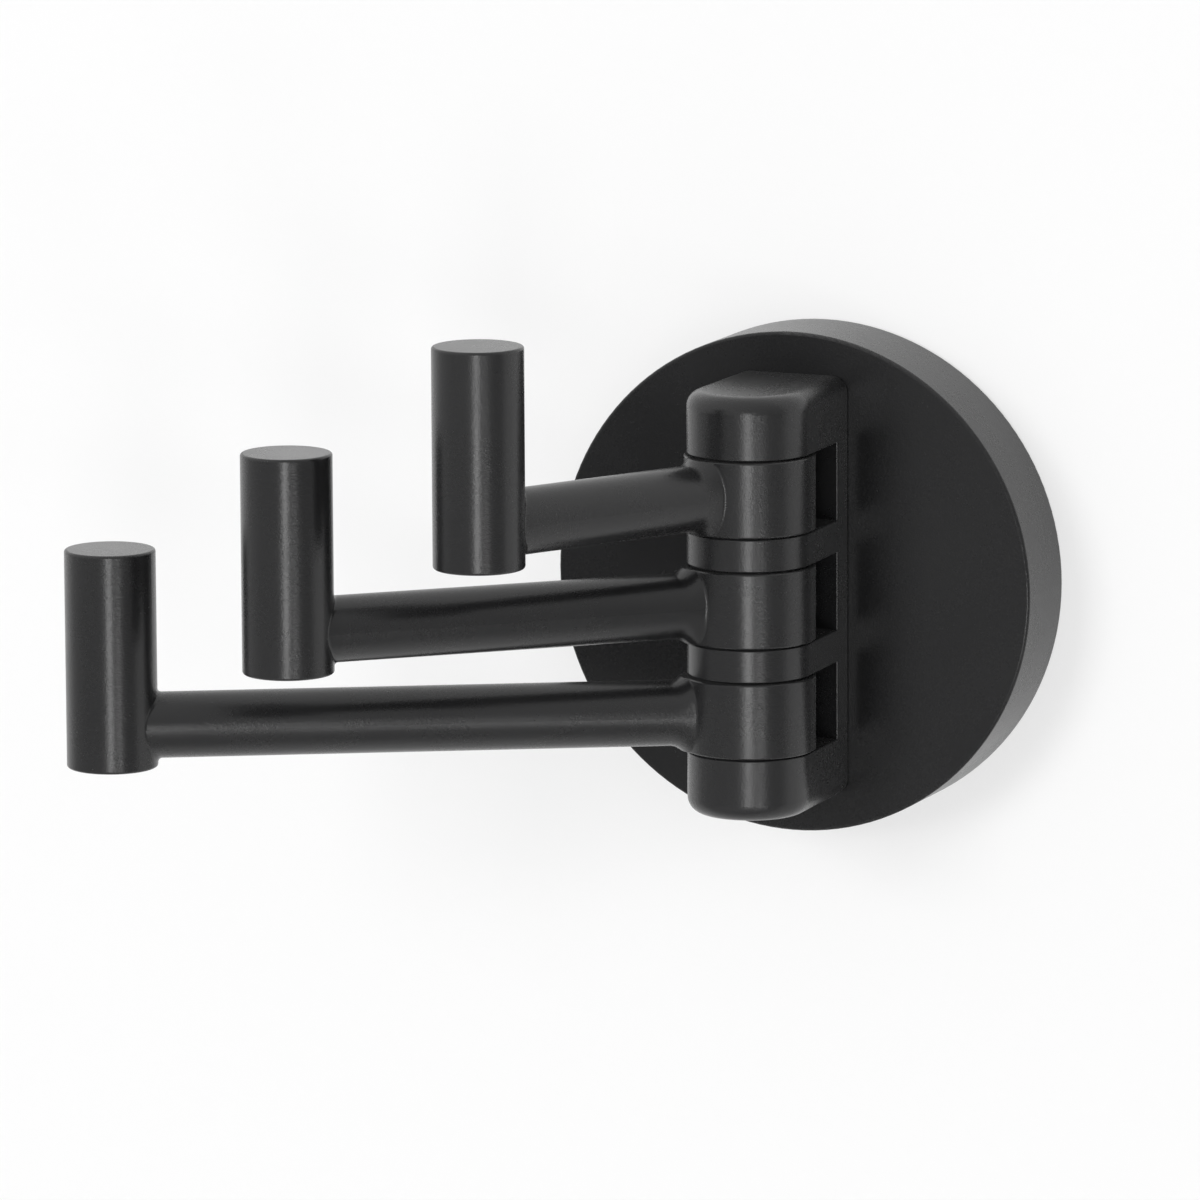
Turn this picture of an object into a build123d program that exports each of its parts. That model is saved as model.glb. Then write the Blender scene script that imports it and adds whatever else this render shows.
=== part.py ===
import os
from math import cos, hypot, radians, sin, tan

from build123d import *

os.makedirs("parts", exist_ok=True)

# Swivel robe hook, in millimetres.
# The wall is the plane Y = 0, the hook stands out towards -Y and +Z is up.
# The origin is the centre of the cover plate's back face.

# Cover plate
cover_radius = 32.0
cover_depth = 12.0
cover_wall = 3.5
cover_front = 3.2
cover_edge_round = 0.4

# Wall bracket behind the cover
disc_depth = 6.0
disc_web = 2.5
disc_ring = 4.5
disc_bevel = 2.0
disc_clearance = 0.6
wall_hole_spacing = 34.0
wall_hole_radius = 2.25
wall_hole_head_radius = 4.5
wall_boss_radius = 6.5

# Set screw in the rim of the cover
set_screw_radius = 2.0
set_screw_recess = 0.5
set_screw_tip_radius = 0.8
set_screw_socket = 2.0
set_screw_socket_depth = 1.6
set_screw_seat_gap = 0.1

# Pivot bracket
bracket_radius = 7.9
bracket_side_draft = 1.2
pin_standoff = 14.1
web_thickness = 3.65
slot_height = 9.85
separator_height = 4.15
cap_height = 7.9
cap_round = 2.1
bracket_edge_round = 0.2
bracket_foot_round = 0.25

# Screws that hold the pivot bracket on the cover
bracket_screw_radius = 2.0
bracket_screw_head_radius = 3.9
bracket_screw_engagement = 6.5
bracket_screw_socket = 2.5
bracket_screw_socket_depth = 1.3
tapped_hole_runout = 1.0
countersink_angle = 90

# Pivot pin
pin_radius = 2.5
pin_thread_radius = 2.0
pin_thread_length = 3.4
pin_shoulder_seat = 1.0
pin_head_radius = 4.2
pin_head_height = 2.6
pin_head_recess = 0.5
pin_socket = 3.0
pin_socket_depth = 1.6
pin_tip_chamfer = 0.4

# Arms: knuckle, bar and peg
knuckle_radius = 8.25
knuckle_gap = 0.2
knuckle_edge_round = 0.2
neck_length = 2.2
neck_flare_length = 1.95
neck_flare_height = 1.14
neck_root_fillet = 0.45
neck_sections = 5
bar_radius = 4.15
spigot_radius = 2.5
spigot_length = 4.6
socket_runout = 0.2
peg_radius = 5.7
peg_above_bar = 22.4
peg_below_bar = 5.15
peg_neck_length = 1.6
peg_neck_fillet = 0.5
peg_edge_round = 0.35

# Flanged bushes in the knuckles
bush_wall = 1.1
bush_flange_radius = 5.6
bush_flange_thickness = 0.9
bush_end_gap = 0.4

# Clearances
fit_clearance = 0.02
pin_running_clearance = 0.05
thrust_clearance = 0.04
screw_clearance = 0.2
cut_margin = 1.0
match_tolerance = 0.01

# Each arm: name, reach from pin to peg, swing in degrees from straight out, slot above the middle
arms = [
    ("top", 42.0, 30.0, 1),
    ("middle", 60.5, 48.0, 0),
    ("bottom", 80.0, 61.5, -1),
]

# Worked out from the sizes above
slot_pitch = slot_height + separator_height
bracket_height = 2 * slot_pitch + slot_height + 2 * cap_height
bracket_top = bracket_height / 2
draft_x = bracket_radius * cos(radians(bracket_side_draft))
draft_y = bracket_radius * sin(radians(bracket_side_draft))
cap_middle = bracket_top - cap_height / 2
pin_y = -(cover_depth + pin_standoff)
cavity_radius = cover_radius - cover_wall
cavity_depth = cover_depth - cover_front
disc_front_radius = cavity_radius - disc_clearance
disc_back_radius = disc_front_radius - disc_bevel
disc_ring_inside = disc_back_radius - disc_ring
set_screw_y = -disc_depth / 2
shoulder_z = slot_pitch + slot_height / 2 + pin_shoulder_seat
pin_bottom_z = -bracket_top + pin_head_recess
knuckle_height = slot_height - 2 * knuckle_gap
neck_end = knuckle_radius + neck_length
peg_neck_end = peg_radius + peg_neck_length
bush_bore_radius = pin_radius + pin_running_clearance
bush_outer_radius = bush_bore_radius + bush_wall
bush_recess = bush_flange_thickness - knuckle_gap + thrust_clearance
bush_length = slot_height / 2 - thrust_clearance - bush_end_gap / 2


def save(piece, name):
    piece.label = name
    export_step(piece, f"parts/{name}.step")
    print(name, round(piece.volume, 1))


def room_plane(depth, height=0.0):
    """Plane parallel to the wall, facing the room."""
    return Plane(origin=(0, -depth, height), x_dir=(1, 0, 0), z_dir=(0, -1, 0))


def wall_side_plane(depth, height=0.0):
    """Plane parallel to the wall, facing the wall."""
    return Plane(origin=(0, -depth, height), x_dir=(1, 0, 0), z_dir=(0, 1, 0))


def pin_plane(height):
    """Level plane with its origin on the pin's axis."""
    return Plane(origin=(0, pin_y, height), z_dir=(0, 0, 1))


def arm_plane(swing, height):
    """Plane across an arm at the pin's axis, facing along the arm, with its Y upright."""
    turn = radians(swing)
    return Plane(
        origin=(0, pin_y, height),
        x_dir=(cos(turn), -sin(turn), 0),
        z_dir=(-sin(turn), -cos(turn), 0),
    )


# Cover plate: a round cup, open to the wall
with BuildPart() as cover_plate:
    with BuildSketch(room_plane(0)):
        Circle(cover_radius)
    extrude(amount=cover_depth)
    fillet(cover_plate.edges().filter_by(GeomType.CIRCLE), cover_edge_round)
    with BuildSketch(room_plane(0)):
        Circle(cavity_radius)
    extrude(amount=cavity_depth, mode=Mode.SUBTRACT)
    # Countersunk holes for the two screws of the pivot bracket
    with Locations(wall_side_plane(cavity_depth)):
        with Locations((0, cap_middle), (0, -cap_middle)):
            CounterSinkHole(
                bracket_screw_radius + screw_clearance,
                bracket_screw_head_radius + screw_clearance,
                counter_sink_angle=countersink_angle,
            )
    # Tapped hole for the set screw, through the rim from below
    with BuildSketch(Plane(origin=(0, set_screw_y, -cover_radius), z_dir=(0, 0, 1))):
        Circle(set_screw_radius + fit_clearance)
    extrude(amount=cover_wall + cut_margin, mode=Mode.SUBTRACT)
save(cover_plate.part, "cover_plate")

# Wall bracket: a dished disc whose bevelled rim the set screw bears on
with BuildPart() as wall_bracket:
    with BuildSketch(Plane.XY):
        Polygon(
            (0, -disc_depth),
            (disc_front_radius, -disc_depth),
            (disc_back_radius, 0),
            (disc_ring_inside, 0),
            (disc_ring_inside, disc_web - disc_depth),
            (0, disc_web - disc_depth),
            align=None,
        )
    revolve(axis=Axis.Y)
    with BuildSketch(room_plane(0)):
        with Locations((0, wall_hole_spacing / 2), (0, -wall_hole_spacing / 2)):
            Circle(wall_boss_radius)
    extrude(amount=disc_depth)
    with Locations(room_plane(disc_depth)):
        with Locations((0, wall_hole_spacing / 2), (0, -wall_hole_spacing / 2)):
            CounterSinkHole(
                wall_hole_radius,
                wall_hole_head_radius,
                counter_sink_angle=countersink_angle,
            )
save(wall_bracket.part, "wall_bracket")

# Set screw: cone point against the bevel, socket outside
set_screw_bottom = -cover_radius + set_screw_recess
bevel_radius_at_tip = (disc_front_radius + disc_back_radius) / 2
bevel_radius_at_tip += set_screw_tip_radius * disc_bevel / disc_depth
set_screw_length = -set_screw_bottom - bevel_radius_at_tip - set_screw_seat_gap
with BuildPart() as cover_set_screw:
    with BuildSketch(Plane(origin=(0, set_screw_y, set_screw_bottom), z_dir=(0, 0, 1))):
        Circle(set_screw_radius)
    extrude(amount=set_screw_length)
    tip_edge = cover_set_screw.edges().filter_by(GeomType.CIRCLE).sort_by(Axis.Z)[-1]
    chamfer(tip_edge, set_screw_radius - set_screw_tip_radius)
    with BuildSketch(Plane(origin=(0, set_screw_y, set_screw_bottom), z_dir=(0, 0, 1))):
        RegularPolygon(set_screw_socket / 2, 6, major_radius=False)
    extrude(amount=set_screw_socket_depth, mode=Mode.SUBTRACT)
save(cover_set_screw.part, "cover_set_screw")


def bracket_half_width(behind_pin):
    """Half the width of the bracket's drafted sides, at a distance behind the pin's axis."""
    return draft_x - tan(radians(bracket_side_draft)) * (behind_pin - draft_y)


def is_slot_edge(edge):
    """True for an outer edge of the comb that a slot leaves."""
    middle = edge @ 0.5
    on_side = abs(abs(middle.X) - bracket_half_width(middle.Y - pin_y)) < match_tolerance
    on_front = abs(hypot(middle.X, middle.Y - pin_y) - bracket_radius) < match_tolerance
    in_slots = abs(middle.Z) < slot_pitch + slot_height / 2 + match_tolerance
    before_foot = middle.Y < -cover_depth - bracket_foot_round - match_tolerance
    return (on_side or on_front) and in_slots and before_foot


# Pivot bracket: D-shaped comb with drafted sides, two caps, two separators and a web behind
with BuildPart() as pivot_bracket:
    with BuildSketch(pin_plane(-bracket_top)):
        Circle(bracket_radius)
        foot_half_width = bracket_half_width(pin_standoff)
        Polygon(
            (draft_x, draft_y),
            (foot_half_width, pin_standoff),
            (-foot_half_width, pin_standoff),
            (-draft_x, draft_y),
            align=None,
        )
    extrude(amount=bracket_height)
    top_edges = pivot_bracket.faces().sort_by(Axis.Z)[-1].edges().sort_by(Axis.Y)[:-1]
    bottom_edges = pivot_bracket.faces().sort_by(Axis.Z)[0].edges().sort_by(Axis.Y)[:-1]
    fillet(top_edges + bottom_edges, cap_round)
    # Slots for the three knuckles, open at the front and at both sides
    slot_front = bracket_radius + cut_margin
    slot_back = pin_standoff - web_thickness
    for name, reach, swing, slot in arms:
        with BuildSketch(pin_plane(slot * slot_pitch - slot_height / 2)):
            with Locations((0, (slot_back - slot_front) / 2)):
                Rectangle(2 * slot_front, slot_front + slot_back)
        extrude(amount=slot_height, mode=Mode.SUBTRACT)
    # Broken edges round the foot and along the slots
    foot_face = pivot_bracket.faces().sort_by(Axis.Y)[-1]
    fillet(foot_face.edges(), bracket_foot_round)
    slot_edges = [edge for edge in pivot_bracket.edges() if is_slot_edge(edge)]
    fillet(slot_edges, bracket_edge_round)
    # Bore for the pin, with a recess for its head and a tapped end in the top cap
    with BuildSketch(pin_plane(-bracket_top)):
        Circle(pin_head_radius + screw_clearance)
    extrude(amount=pin_head_recess + pin_head_height, mode=Mode.SUBTRACT)
    with BuildSketch(pin_plane(-bracket_top)):
        Circle(pin_radius + fit_clearance)
    extrude(amount=bracket_top + shoulder_z, mode=Mode.SUBTRACT)
    with BuildSketch(pin_plane(shoulder_z)):
        Circle(pin_thread_radius + fit_clearance)
    extrude(amount=pin_thread_length + socket_runout, mode=Mode.SUBTRACT)
    # Tapped holes in the two caps for the screws from behind
    for height in (cap_middle, -cap_middle):
        with BuildSketch(room_plane(cover_depth, height)):
            Circle(bracket_screw_radius + fit_clearance)
        extrude(amount=bracket_screw_engagement + tapped_hole_runout, mode=Mode.SUBTRACT)
save(pivot_bracket.part, "pivot_bracket")

# Two countersunk screws from inside the cover into the caps
with BuildPart() as bracket_screws:
    for height in (cap_middle, -cap_middle):
        seat = room_plane(cavity_depth, height)
        with BuildSketch(seat):
            Circle(bracket_screw_head_radius)
        extrude(amount=bracket_screw_head_radius - bracket_screw_radius, taper=countersink_angle / 2)
        with BuildSketch(seat):
            Circle(bracket_screw_radius)
        extrude(amount=cover_front + bracket_screw_engagement)
        with BuildSketch(seat):
            RegularPolygon(bracket_screw_socket / 2, 6, major_radius=False)
        extrude(amount=bracket_screw_socket_depth, mode=Mode.SUBTRACT)
save(bracket_screws.part, "bracket_screws")

# Pivot pin: shoulder screw put in from below
with BuildPart() as pivot_pin:
    with BuildSketch(pin_plane(pin_bottom_z)):
        Circle(pin_head_radius)
    extrude(amount=pin_head_height)
    with BuildSketch(pin_plane(pin_bottom_z)):
        Circle(pin_radius)
    extrude(amount=shoulder_z - pin_bottom_z)
    with BuildSketch(pin_plane(shoulder_z)):
        Circle(pin_thread_radius)
    extrude(amount=pin_thread_length)
    tip_edge = pivot_pin.edges().filter_by(GeomType.CIRCLE).sort_by(Axis.Z)[-1]
    chamfer(tip_edge, pin_tip_chamfer)
    with BuildSketch(pin_plane(pin_bottom_z)):
        RegularPolygon(pin_socket / 2, 6, major_radius=False)
    extrude(amount=pin_socket_depth, mode=Mode.SUBTRACT)
save(pivot_pin.part, "pivot_pin")


def is_neck_root(edge, bar_z, blank_height):
    """True for an edge where the neck meets the round of the eye."""
    middle = edge @ 0.5
    on_round = abs(hypot(middle.X, middle.Y - pin_y) - knuckle_radius) < match_tolerance
    between_ends = abs(middle.Z - bar_z) < blank_height / 2 - match_tolerance
    return on_round and between_ends and edge.geom_type == GeomType.BSPLINE


def make_knuckle(swing, bar_z):
    """Turning eye whose neck flares up and down into it, faced to height and bored for bushes."""
    across = arm_plane(swing, bar_z)
    flare_start = knuckle_radius + neck_flare_length
    neck_inside = knuckle_radius - neck_flare_length
    blank_height = knuckle_height + 4 * neck_flare_height
    with BuildPart() as knuckle:
        with BuildSketch(pin_plane(bar_z - blank_height / 2)):
            Circle(knuckle_radius)
        extrude(amount=blank_height)
        # The neck is as wide as the bar and grows taller towards the eye
        for step in range(neck_sections + 1):
            reach_out = neck_end - step * (neck_end - neck_inside) / neck_sections
            flare = max(0, flare_start - reach_out) / neck_flare_length
            with BuildSketch(across.offset(reach_out)):
                Ellipse(bar_radius, bar_radius + neck_flare_height * flare**2)
        loft()
        neck_root = [edge for edge in knuckle.edges() if is_neck_root(edge, bar_z, blank_height)]
        fillet(neck_root, neck_root_fillet)
        # Facing to height cuts the flare to a point at the top and at the bottom
        with BuildSketch(pin_plane(bar_z - knuckle_height / 2)):
            Circle(neck_end + cut_margin)
        extrude(amount=knuckle_height, mode=Mode.INTERSECT)
        end_faces = knuckle.faces().sort_by(Axis.Z)
        fillet(end_faces[0].edges() + end_faces[-1].edges(), knuckle_edge_round)
        with BuildSketch(pin_plane(bar_z - knuckle_height / 2)):
            Circle(bush_outer_radius + fit_clearance)
        extrude(amount=knuckle_height, mode=Mode.SUBTRACT)
        for face_z, inwards in ((bar_z + knuckle_height / 2, -1), (bar_z - knuckle_height / 2, 1)):
            with BuildSketch(pin_plane(face_z)):
                Circle(bush_flange_radius + fit_clearance)
            extrude(amount=inwards * bush_recess, mode=Mode.SUBTRACT)
        with BuildSketch(across.offset(neck_end)):
            Circle(spigot_radius + fit_clearance)
        extrude(amount=-(spigot_length + socket_runout), mode=Mode.SUBTRACT)
    return knuckle.part


def make_bar(swing, bar_z, reach):
    """Round bar with a spigot at each end."""
    across = arm_plane(swing, bar_z)
    bar_length = reach - neck_end - peg_neck_end
    with BuildPart() as bar:
        with BuildSketch(across.offset(neck_end)):
            Circle(bar_radius)
        extrude(amount=bar_length)
        with BuildSketch(across.offset(neck_end - spigot_length)):
            Circle(spigot_radius)
        extrude(amount=bar_length + 2 * spigot_length)
    return bar.part


def make_peg(swing, bar_z, reach):
    """Upright round peg with a short neck towards the bar."""
    across = arm_plane(swing, bar_z).offset(reach)
    level = Plane(origin=across.origin, z_dir=(0, 0, 1))
    with BuildPart() as peg:
        with BuildSketch(level.offset(-peg_below_bar)):
            Circle(peg_radius)
        extrude(amount=peg_below_bar + peg_above_bar)
        end_edges = peg.edges().filter_by(GeomType.CIRCLE)
        fillet(end_edges, peg_edge_round)
        with BuildSketch(across):
            Circle(bar_radius)
        extrude(amount=-peg_neck_end)
        neck_root = peg.edges().filter_by(GeomType.BSPLINE)
        fillet(neck_root, peg_neck_fillet)
        with BuildSketch(across.offset(-peg_neck_end)):
            Circle(spigot_radius + fit_clearance)
        extrude(amount=spigot_length + socket_runout, mode=Mode.SUBTRACT)
    return peg.part


def make_bush(bar_z, side):
    """Flanged bush: its flange bears on the bracket, its sleeve runs to the knuckle's middle."""
    flange_face = pin_plane(bar_z + side * (slot_height / 2 - thrust_clearance))
    with BuildPart() as bush:
        with BuildSketch(flange_face):
            Circle(bush_flange_radius)
        extrude(amount=-side * bush_flange_thickness)
        with BuildSketch(flange_face):
            Circle(bush_outer_radius)
        extrude(amount=-side * bush_length)
        with BuildSketch(flange_face):
            Circle(bush_bore_radius)
        extrude(amount=-side * bush_length, mode=Mode.SUBTRACT)
    return bush.part


# The three arms, each with its knuckle, bar, peg and two bushes
for name, reach, swing, slot in arms:
    bar_z = slot * slot_pitch
    save(make_knuckle(swing, bar_z), f"knuckle_{name}")
    save(make_bar(swing, bar_z, reach), f"bar_{name}")
    save(make_peg(swing, bar_z, reach), f"peg_{name}")
    save(make_bush(bar_z, 1), f"bush_{name}_upper")
    save(make_bush(bar_z, -1), f"bush_{name}_lower")
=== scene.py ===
from math import radians

import bpy
from mathutils import Matrix, Vector


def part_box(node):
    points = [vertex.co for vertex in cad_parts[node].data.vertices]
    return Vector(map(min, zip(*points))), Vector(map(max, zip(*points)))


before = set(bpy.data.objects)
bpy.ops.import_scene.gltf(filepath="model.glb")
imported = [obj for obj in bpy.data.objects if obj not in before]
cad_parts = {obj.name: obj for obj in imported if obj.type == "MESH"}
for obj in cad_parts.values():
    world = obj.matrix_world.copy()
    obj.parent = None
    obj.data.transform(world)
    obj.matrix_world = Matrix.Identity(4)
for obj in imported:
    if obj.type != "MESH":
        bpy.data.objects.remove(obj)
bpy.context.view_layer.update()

scene = bpy.context.scene
scene.view_settings.view_transform = "Standard"
print("frame loaded:", len(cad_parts), "nodes")


# helpers for node trees
def addNode(tree, kind, x, y, **values):
    node = tree.nodes.new(kind)
    node.location = (x, y)
    for name, value in values.items():
        setattr(node, name, value)
    return node


def newGroup(name, vectors, values, outputs):
    group = bpy.data.node_groups.new(name, "ShaderNodeTree")
    for label in vectors:
        group.interface.new_socket(name=label, in_out="INPUT", socket_type="NodeSocketVector")
    for label in values:
        group.interface.new_socket(name=label, in_out="INPUT", socket_type="NodeSocketFloat")
    for label in outputs:
        group.interface.new_socket(name=label, in_out="OUTPUT", socket_type="NodeSocketFloat")
    start = addNode(group, "NodeGroupInput", -900, 0)
    end = addNode(group, "NodeGroupOutput", 600, 0)
    return group, start, end


def placeGroup(tree, group, x, y, **values):
    node = addNode(tree, "ShaderNodeGroup", x, y)
    node.node_tree = group
    for label, value in values.items():
        node.inputs[label].default_value = value
    return node


# powder grain: orange peel, fine pits and slow clouds, all from one vector
powder = {
    "peelDetail": 2.0, "peelRoughness": 0.55, "pitDetail": 1.0, "cloudDetail": 3.0,
    "pitEdge": (0.42, 0.62),  # where the pits' noise turns from hollow to flat
    "pitDepth": 0.35,  # beside a peel of 1
    "peelShine": 0.4,  # how much the peel changes the roughness, beside clouds of 1
}


def buildPowderGrain():
    group, start, end = newGroup(
        "powderGrain", ["Vector"], ["Peel", "Pits", "Clouds"], ["Height", "Rough", "Tone"])
    link = group.links.new
    peel = addNode(group, "ShaderNodeTexNoise", -600, 300)
    peel.inputs["Detail"].default_value = powder["peelDetail"]
    peel.inputs["Roughness"].default_value = powder["peelRoughness"]
    pits = addNode(group, "ShaderNodeTexNoise", -600, 0)
    pits.inputs["Detail"].default_value = powder["pitDetail"]
    clouds = addNode(group, "ShaderNodeTexNoise", -600, -300)
    clouds.inputs["Detail"].default_value = powder["cloudDetail"]
    for node, label in ((peel, "Peel"), (pits, "Pits"), (clouds, "Clouds")):
        link(start.outputs["Vector"], node.inputs["Vector"])
        link(start.outputs[label], node.inputs["Scale"])
    pitMask = addNode(group, "ShaderNodeMapRange", -300, 0)
    hollow, flat = powder["pitEdge"]
    pitMask.inputs["From Min"].default_value = hollow
    pitMask.inputs["From Max"].default_value = flat
    link(pits.outputs["Fac"], pitMask.inputs["Value"])
    height = addNode(group, "ShaderNodeMath", 0, 200, operation="MULTIPLY_ADD")
    height.inputs[1].default_value = powder["pitDepth"]
    link(pitMask.outputs["Result"], height.inputs[0])
    link(peel.outputs["Fac"], height.inputs[2])
    rough = addNode(group, "ShaderNodeMath", 0, -100, operation="MULTIPLY_ADD")
    rough.inputs[1].default_value = powder["peelShine"]
    link(peel.outputs["Fac"], rough.inputs[0])
    link(clouds.outputs["Fac"], rough.inputs[2])
    link(height.outputs["Value"], end.inputs["Height"])
    link(rough.outputs["Value"], end.inputs["Rough"])
    link(clouds.outputs["Fac"], end.inputs["Tone"])
    return group


# tool rings: turning marks about Z, with fine scratches over them
toolMarks = {
    "ringDetail": 2.0, "scratchScale": 1800.0, "scratchDetail": 3.0,
    "scratchDepth": 0.5,  # beside rings of 1
}


def buildToolRings():
    group, start, end = newGroup(
        "toolRings", ["Vector"], ["Pitch", "Wobble"], ["Height", "Rough"])
    link = group.links.new
    rings = addNode(group, "ShaderNodeTexWave", -500, 150, wave_type="RINGS", rings_direction="Z")
    rings.inputs["Detail"].default_value = toolMarks["ringDetail"]
    scratches = addNode(group, "ShaderNodeTexNoise", -500, -200)
    scratches.inputs["Scale"].default_value = toolMarks["scratchScale"]
    scratches.inputs["Detail"].default_value = toolMarks["scratchDetail"]
    link(start.outputs["Vector"], rings.inputs["Vector"])
    link(start.outputs["Vector"], scratches.inputs["Vector"])
    link(start.outputs["Pitch"], rings.inputs["Scale"])
    link(start.outputs["Wobble"], rings.inputs["Distortion"])
    height = addNode(group, "ShaderNodeMath", -100, 100, operation="MULTIPLY_ADD")
    height.inputs[1].default_value = toolMarks["scratchDepth"]
    link(scratches.outputs["Fac"], height.inputs[0])
    link(rings.outputs["Fac"], height.inputs[2])
    link(height.outputs["Value"], end.inputs["Height"])
    link(scratches.outputs["Fac"], end.inputs["Rough"])
    return group


powderGrain = buildPowderGrain()
toolRings = buildToolRings()
print("node groups ready")


# finishes: colour fades to paleColour with the clouds; roughness is (least, most);
# grainDepth and markDepth are in metres; peel, pits, clouds and pitch are texture scales
coatLook = {
    "colour": (0.0080, 0.0080, 0.0084, 1),
    "paleColour": (0.0112, 0.0112, 0.0117, 1),
    "roughness": (0.22, 0.31), "metallic": 0.0, "ior": 1.50,
    "sheen": 0.04, "sheenRoughness": 0.35,
    "grainDepth": 0.000011, "peel": 1700.0, "pits": 4000.0, "clouds": 70.0,
}
plateLook = dict(  # the same coat, a little paler and duller
    coatLook,
    colour=(0.0090, 0.0090, 0.0094, 1),
    paleColour=(0.0122, 0.0122, 0.0127, 1),
    ior=1.40)
nylonLook = {
    "colour": (0.020, 0.020, 0.021, 1),
    "paleColour": (0.028, 0.028, 0.029, 1),
    "roughness": (0.48, 0.60), "metallic": 0.0, "ior": 1.50,
    "sheen": 0.0, "sheenRoughness": 0.5,
    "grainDepth": 0.000008, "peel": 900.0, "pits": 3000.0, "clouds": 200.0,
}
zincLook = {
    "colour": (0.42, 0.42, 0.43, 1),
    "paleColour": (0.56, 0.56, 0.57, 1),
    "roughness": (0.42, 0.62), "metallic": 1.0, "ior": 1.50,
    "sheen": 0.0, "sheenRoughness": 0.5,
    "grainDepth": 0.00003, "peel": 800.0, "pits": 2400.0, "clouds": 90.0,
}
blackSteelLook = {
    "colour": (0.028, 0.028, 0.030, 1), "roughness": (0.30, 0.42),
    "markDepth": 0.000006, "pitch": 700.0, "wobble": 1.5,
}
brightSteelLook = {
    "colour": (0.50, 0.50, 0.52, 1), "roughness": (0.22, 0.36),
    "markDepth": 0.000005, "pitch": 800.0, "wobble": 1.5,
}
maskSpan = (0.3, 1.0)  # the part of a roughness mask's values that the roughness spreads over


def newMaterial(name):
    material = bpy.data.materials.new(name)
    material.use_nodes = True
    tree = material.node_tree
    shader = tree.nodes["Principled BSDF"]
    coords = addNode(tree, "ShaderNodeTexCoord", -1200, 0)
    bump = addNode(tree, "ShaderNodeBump", -250, -300)
    tree.links.new(bump.outputs["Normal"], shader.inputs["Normal"])
    return material, tree, shader, coords, bump


def spreadRoughness(tree, source, shader, look):
    spread = addNode(tree, "ShaderNodeMapRange", -450, -100)
    spread.inputs["From Min"].default_value, spread.inputs["From Max"].default_value = maskSpan
    spread.inputs["To Min"].default_value, spread.inputs["To Max"].default_value = look["roughness"]
    tree.links.new(source, spread.inputs["Value"])
    tree.links.new(spread.outputs["Result"], shader.inputs["Roughness"])


def grainyMaterial(name, look):
    material, tree, shader, coords, bump = newMaterial(name)
    grain = placeGroup(tree, powderGrain, -800, 0,
                       Peel=look["peel"], Pits=look["pits"], Clouds=look["clouds"])
    tree.links.new(coords.outputs["Object"], grain.inputs["Vector"])
    mix = addNode(tree, "ShaderNodeMix", -450, 200, data_type="RGBA")
    mix.inputs["A"].default_value = look["colour"]
    mix.inputs["B"].default_value = look["paleColour"]
    tree.links.new(grain.outputs["Tone"], mix.inputs["Factor"])
    tree.links.new(mix.outputs["Result"], shader.inputs["Base Color"])
    spreadRoughness(tree, grain.outputs["Rough"], shader, look)
    bump.inputs["Distance"].default_value = look["grainDepth"]
    tree.links.new(grain.outputs["Height"], bump.inputs["Height"])
    shader.inputs["Metallic"].default_value = look["metallic"]
    shader.inputs["IOR"].default_value = look["ior"]
    shader.inputs["Sheen Weight"].default_value = look["sheen"]
    shader.inputs["Sheen Roughness"].default_value = look["sheenRoughness"]
    return material


def turnedMaterial(name, look, centre=(0, 0, 0), aboutY=False):
    material, tree, shader, coords, bump = newMaterial(name)
    turn = addNode(tree, "ShaderNodeMapping", -1000, 0, vector_type="POINT")
    turn.inputs["Location"].default_value = [-c for c in centre]
    if aboutY:  # rings about Y, for screws that lie level
        turn.inputs["Rotation"].default_value = (radians(90), 0, 0)
    rings = placeGroup(tree, toolRings, -800, 0, Pitch=look["pitch"], Wobble=look["wobble"])
    tree.links.new(coords.outputs["Object"], turn.inputs["Vector"])
    tree.links.new(turn.outputs["Vector"], rings.inputs["Vector"])
    shader.inputs["Base Color"].default_value = look["colour"]
    shader.inputs["Metallic"].default_value = 1.0
    spreadRoughness(tree, rings.outputs["Rough"], shader, look)
    bump.inputs["Distance"].default_value = look["markDepth"]
    tree.links.new(rings.outputs["Height"], bump.inputs["Height"])
    return material


pinLow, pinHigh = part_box("pivot_pin")
pinCentre = (pinLow + pinHigh) / 2
satinCoat = grainyMaterial("satinCoat", coatLook)
plateCoat = grainyMaterial("plateCoat", plateLook)
blackNylon = grainyMaterial("blackNylon", nylonLook)
castZinc = grainyMaterial("castZinc", zincLook)
blackSteel = turnedMaterial("blackSteel", blackSteelLook, pinCentre)
brightSteel = turnedMaterial("brightSteel", brightSteelLook, aboutY=True)

arms = ("top", "middle", "bottom")
armPieces = [f"{piece}_{arm}" for piece in ("knuckle", "bar", "peg") for arm in arms]
finishes = {
    plateCoat: ["cover_plate"],
    satinCoat: ["pivot_bracket"] + armPieces,
    blackNylon: [f"bush_{arm}_{side}" for arm in arms for side in ("upper", "lower")],
    castZinc: ["wall_bracket"],
    blackSteel: ["pivot_pin", "cover_set_screw"],
    brightSteel: ["bracket_screws"],
}
for finish, names in finishes.items():
    for name in names:
        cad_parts[name].material_slots[0].material = finish
print("materials assigned")


# studio: a white wall that sweeps down to a floor, with a round hole behind the cover plate,
# so that the back can be seen and lit; from behind, the wall is clear
studio = {
    "wallY": 0.0003, "halfWidth": 2.6, "top": 1.6, "floor": -0.5, "front": -3.0,
    "sweepRadius": 0.25, "sweepSteps": 16,
    "holeRadius": 0.0312, "holeSteps": 96,
    "ringScale": 12,  # the outer ring, before it is pulled out to the wall's outline
    "slack": 0.0001,  # how near an edge lies to its line, to be picked
    "wallColour": (0.73, 0.73, 0.73, 1), "floorColour": (0.46, 0.46, 0.46, 1),
    "ownWhite": 0.62,  # share of plain white seen by the camera and in reflections
}


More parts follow.
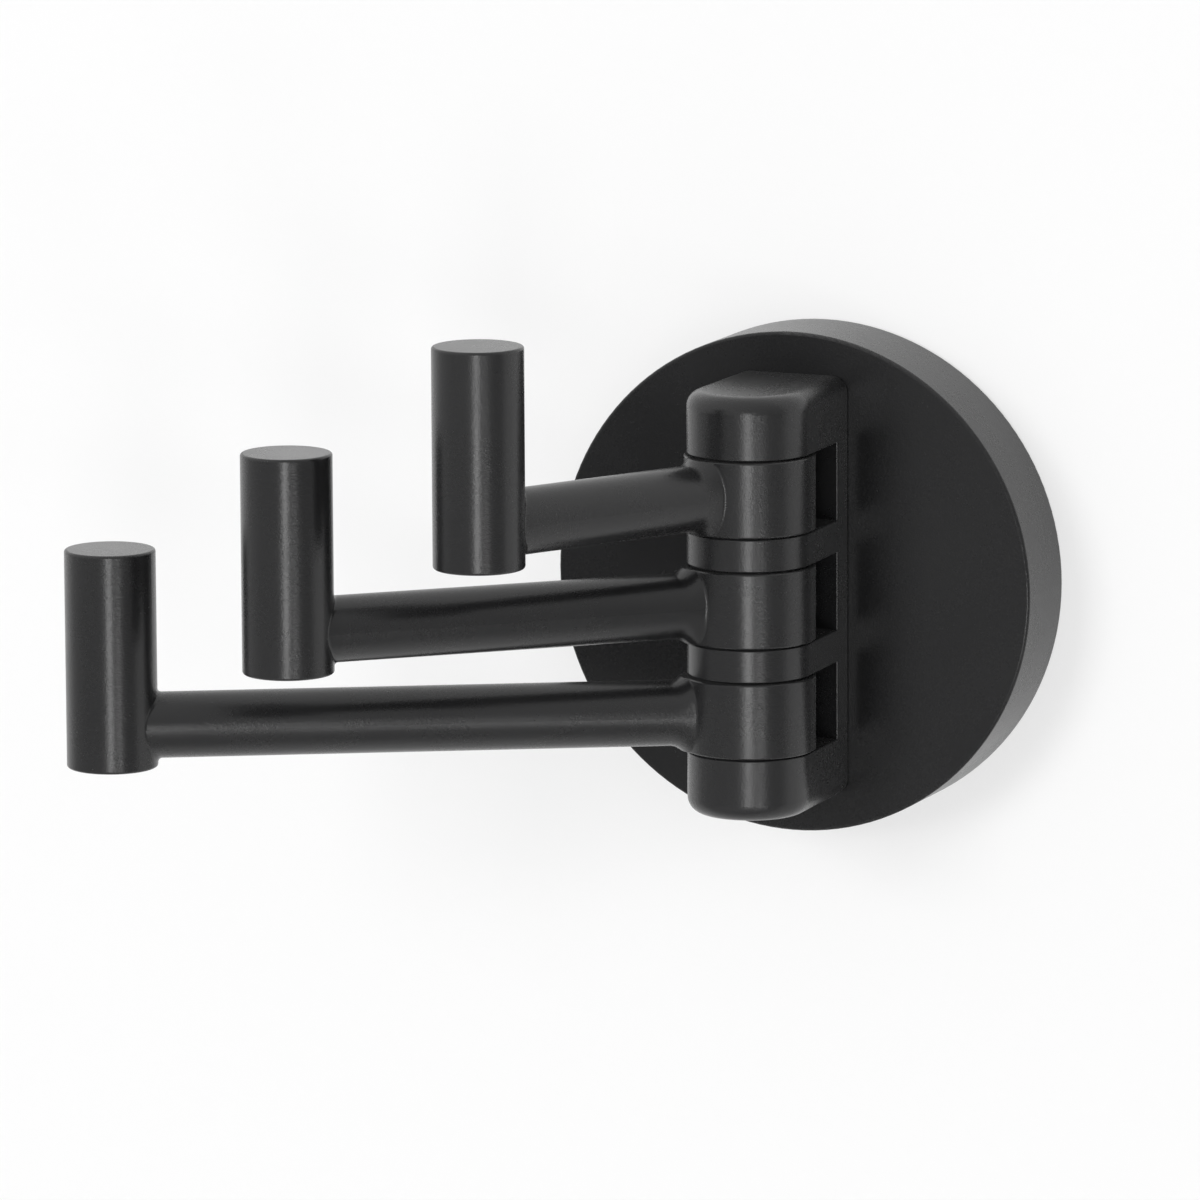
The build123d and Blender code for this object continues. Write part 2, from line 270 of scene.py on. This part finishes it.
def deselectAll():
    if bpy.context.object and bpy.context.object.mode != "OBJECT":
        bpy.ops.object.mode_set(mode="OBJECT")
    bpy.ops.object.select_all(action="DESELECT")


def pickEdges(mesh, wanted):
    bpy.ops.object.mode_set(mode="OBJECT")
    for part in (mesh.vertices, mesh.edges, mesh.polygons):
        part.foreach_set("select", [False] * len(part))
    for edge in mesh.edges:
        middle = sum((mesh.vertices[i].co for i in edge.vertices), Vector()) / 2
        edge.select = wanted(middle)
    bpy.ops.object.mode_set(mode="EDIT")


def pullToOutline(wall, s):
    between = s["holeRadius"] * s["ringScale"] / 2
    for vertex in wall.data.vertices:
        x, z = vertex.co.x, vertex.co.z
        if Vector((x, 0, z)).length > between:
            reach = max(abs(x), abs(z))
            vertex.co.x = x / reach * s["halfWidth"]
            vertex.co.z = z / reach * (s["top"] if z > 0 else -s["floor"])


def buildStudio():
    deselectAll()
    s = studio
    bpy.ops.mesh.primitive_circle_add(
        vertices=s["holeSteps"], radius=s["holeRadius"], fill_type="NOTHING",
        location=(0, s["wallY"], 0), rotation=(radians(90), 0, 0))
    wall = bpy.context.object
    wall.name = "studioWall"
    bpy.ops.object.transform_apply(location=True, rotation=True, scale=True)
    bpy.ops.object.mode_set(mode="EDIT")
    bpy.ops.mesh.select_all(action="SELECT")
    bpy.ops.mesh.extrude_edges_move(TRANSFORM_OT_translate={"value": (0, 0, 0)})
    bpy.ops.transform.resize(value=(s["ringScale"], 1, s["ringScale"]),
                             center_override=(0, s["wallY"], 0))
    bpy.ops.object.mode_set(mode="OBJECT")
    pullToOutline(wall, s)
    bpy.ops.object.mode_set(mode="EDIT")
    bpy.ops.mesh.select_mode(type="EDGE")
    low = s["floor"] + s["slack"]
    pickEdges(wall.data, lambda p: p.z < low)
    bpy.ops.mesh.extrude_edges_move(TRANSFORM_OT_translate={"value": (0, s["front"], 0)})
    pickEdges(wall.data, lambda p: p.z < low and abs(p.y - s["wallY"]) < s["slack"])
    bpy.ops.mesh.bevel(offset=s["sweepRadius"], segments=s["sweepSteps"], affect="EDGES")
    bpy.ops.mesh.select_all(action="SELECT")
    bpy.ops.mesh.normals_make_consistent(inside=False)
    bpy.ops.object.mode_set(mode="OBJECT")
    if sum(face.normal.y * face.area for face in wall.data.polygons) > 0:  # inside out
        bpy.ops.object.mode_set(mode="EDIT")
        bpy.ops.mesh.flip_normals()
        bpy.ops.object.mode_set(mode="OBJECT")
    bpy.ops.object.shade_smooth()
    return wall


def paintStudio(wall):
    paper = bpy.data.materials.new("studioPaper")
    paper.use_nodes = True
    tree = paper.node_tree
    tree.nodes.clear()
    link = tree.links.new
    geometry = addNode(tree, "ShaderNodeNewGeometry", -1400, 350)
    path = addNode(tree, "ShaderNodeLightPath", -1000, 450)
    upright = addNode(tree, "ShaderNodeSeparateXYZ", -1200, 150)
    wallMask = addNode(tree, "ShaderNodeMath", -1000, 0, operation="ABSOLUTE")  # 1 wall, 0 floor
    link(geometry.outputs["Normal"], upright.inputs["Vector"])
    link(upright.outputs["Y"], wallMask.inputs[0])
    tone = addNode(tree, "ShaderNodeMix", -600, 0, data_type="RGBA")
    tone.inputs["A"].default_value = studio["floorColour"]
    tone.inputs["B"].default_value = studio["wallColour"]
    link(wallMask.outputs["Value"], tone.inputs["Factor"])
    paint = addNode(tree, "ShaderNodeBsdfDiffuse", -350, 0)
    link(tone.outputs["Result"], paint.inputs["Color"])
    mirrored = addNode(tree, "ShaderNodeMath", -800, 200, operation="MULTIPLY")
    link(wallMask.outputs["Value"], mirrored.inputs[0])
    link(path.outputs["Is Glossy Ray"], mirrored.inputs[1])
    seen = addNode(tree, "ShaderNodeMath", -600, 350, operation="MAXIMUM")
    link(path.outputs["Is Camera Ray"], seen.inputs[0])
    link(mirrored.outputs["Value"], seen.inputs[1])
    share = addNode(tree, "ShaderNodeMath", -400, 350, operation="MULTIPLY")
    share.inputs[1].default_value = studio["ownWhite"]
    link(seen.outputs["Value"], share.inputs[0])
    white = addNode(tree, "ShaderNodeEmission", -350, -150)
    front = addNode(tree, "ShaderNodeMixShader", -150, 200)
    link(share.outputs["Value"], front.inputs["Fac"])
    link(paint.outputs["BSDF"], front.inputs[1])
    link(white.outputs["Emission"], front.inputs[2])
    clear = addNode(tree, "ShaderNodeBsdfTransparent", -150, -100)
    join = addNode(tree, "ShaderNodeMixShader", 50, 100)
    link(geometry.outputs["Backfacing"], join.inputs["Fac"])
    link(front.outputs["Shader"], join.inputs[1])
    link(clear.outputs["BSDF"], join.inputs[2])
    out = addNode(tree, "ShaderNodeOutputMaterial", 250, 100)
    link(join.outputs["Shader"], out.inputs["Surface"])
    wall.data.materials.append(paper)


paintStudio(buildStudio())
print("studio built")


# lamps: power in watts; mirrored lamps show in reflections
lamps = {
    "stripLight": {"place": (0.512, -1.524, -0.197), "size": (0.30, 0.70),
                   "power": 4.9, "mirrored": True},
    "lowSoftbox": {"place": (0.733, -0.874, -0.340), "size": (0.20, 0.16),
                   "power": 0.85, "mirrored": True},
    "skySoftbox": {"place": (-0.50, -1.45, 0.42), "size": (0.6, 0.6),
                   "power": 13.5, "mirrored": False},
    "backSoftbox": {"place": (-0.60, 1.40, 0.60), "size": (1.2, 1.2),
                    "power": 20.0, "mirrored": True},
}
aimPoint = Vector((-0.02, -0.03, 0))


def placeLamps():
    for name, lamp in lamps.items():
        data = bpy.data.lights.new(name, "AREA")
        data.shape = "RECTANGLE"
        data.size, data.size_y = lamp["size"]
        data.energy = lamp["power"]
        light = bpy.data.objects.new(name, data)
        scene.collection.objects.link(light)
        light.location = lamp["place"]
        light.rotation_mode = "QUATERNION"
        light.rotation_quaternion = (aimPoint - light.location).to_track_quat("-Z", "Y")
        light.visible_camera = False
        light.visible_glossy = lamp["mirrored"]


# world: paler up and to the left, and plain white where the camera sees it
worldLook = {
    "low": 0.28, "high": 0.98,
    "towards": (-0.60, 0.0, 0.80),  # where it is palest
    "seen": 1.0,
}


def buildWorld():
    world = bpy.data.worlds.new("paleRoom")
    scene.world = world
    world.use_nodes = True
    tree = world.node_tree
    tree.nodes.clear()
    link = tree.links.new
    where = addNode(tree, "ShaderNodeTexCoord", -1100, 100)
    lean = addNode(tree, "ShaderNodeVectorMath", -900, 100, operation="DOT_PRODUCT")
    lean.inputs[1].default_value = worldLook["towards"]
    link(where.outputs["Generated"], lean.inputs[0])
    fade = addNode(tree, "ShaderNodeMapRange", -650, 100)
    fade.inputs["From Min"].default_value = -1.0
    fade.inputs["To Min"].default_value = worldLook["low"]
    fade.inputs["To Max"].default_value = worldLook["high"]
    link(lean.outputs["Value"], fade.inputs["Value"])
    soft = addNode(tree, "ShaderNodeBackground", -300, 100)
    soft.inputs["Color"].default_value = (1, 1, 1, 1)
    link(fade.outputs["Result"], soft.inputs["Strength"])
    seen = addNode(tree, "ShaderNodeBackground", -300, -100)
    seen.inputs["Color"].default_value = (1, 1, 1, 1)
    seen.inputs["Strength"].default_value = worldLook["seen"]
    path = addNode(tree, "ShaderNodeLightPath", -300, 450)
    join = addNode(tree, "ShaderNodeMixShader", 0, 100)
    link(path.outputs["Is Camera Ray"], join.inputs["Fac"])
    link(soft.outputs["Background"], join.inputs[1])
    link(seen.outputs["Background"], join.inputs[2])
    out = addNode(tree, "ShaderNodeOutputWorld", 250, 100)
    link(join.outputs["Shader"], out.inputs["Surface"])


placeLamps()
buildWorld()
print("lamps and world ready")


# camera, solved from the photograph: place in metres, angles in degrees, lens and sensor in mm
view = {
    "place": (0.46345, -1.16484, 0.22384), "yaw": 23.02, "pitch": 10.31, "roll": -0.29,
    "lens": 299.58, "sensor": 36, "near": 0.05, "far": 20,
}


def placeCamera():
    camera = bpy.data.objects.new("camera", bpy.data.cameras.new("camera"))
    scene.collection.objects.link(camera)
    camera.data.sensor_width = view["sensor"]
    camera.data.lens = view["lens"]
    camera.data.clip_start = view["near"]
    camera.data.clip_end = view["far"]
    camera.matrix_world = (
        Matrix.Translation(view["place"])
        @ Matrix.Rotation(radians(view["yaw"]), 4, "Z")
        @ Matrix.Rotation(radians(90 - view["pitch"]), 4, "X")
        @ Matrix.Rotation(radians(view["roll"]), 4, "Z"))
    scene.camera = camera


placeCamera()
print("camera set")
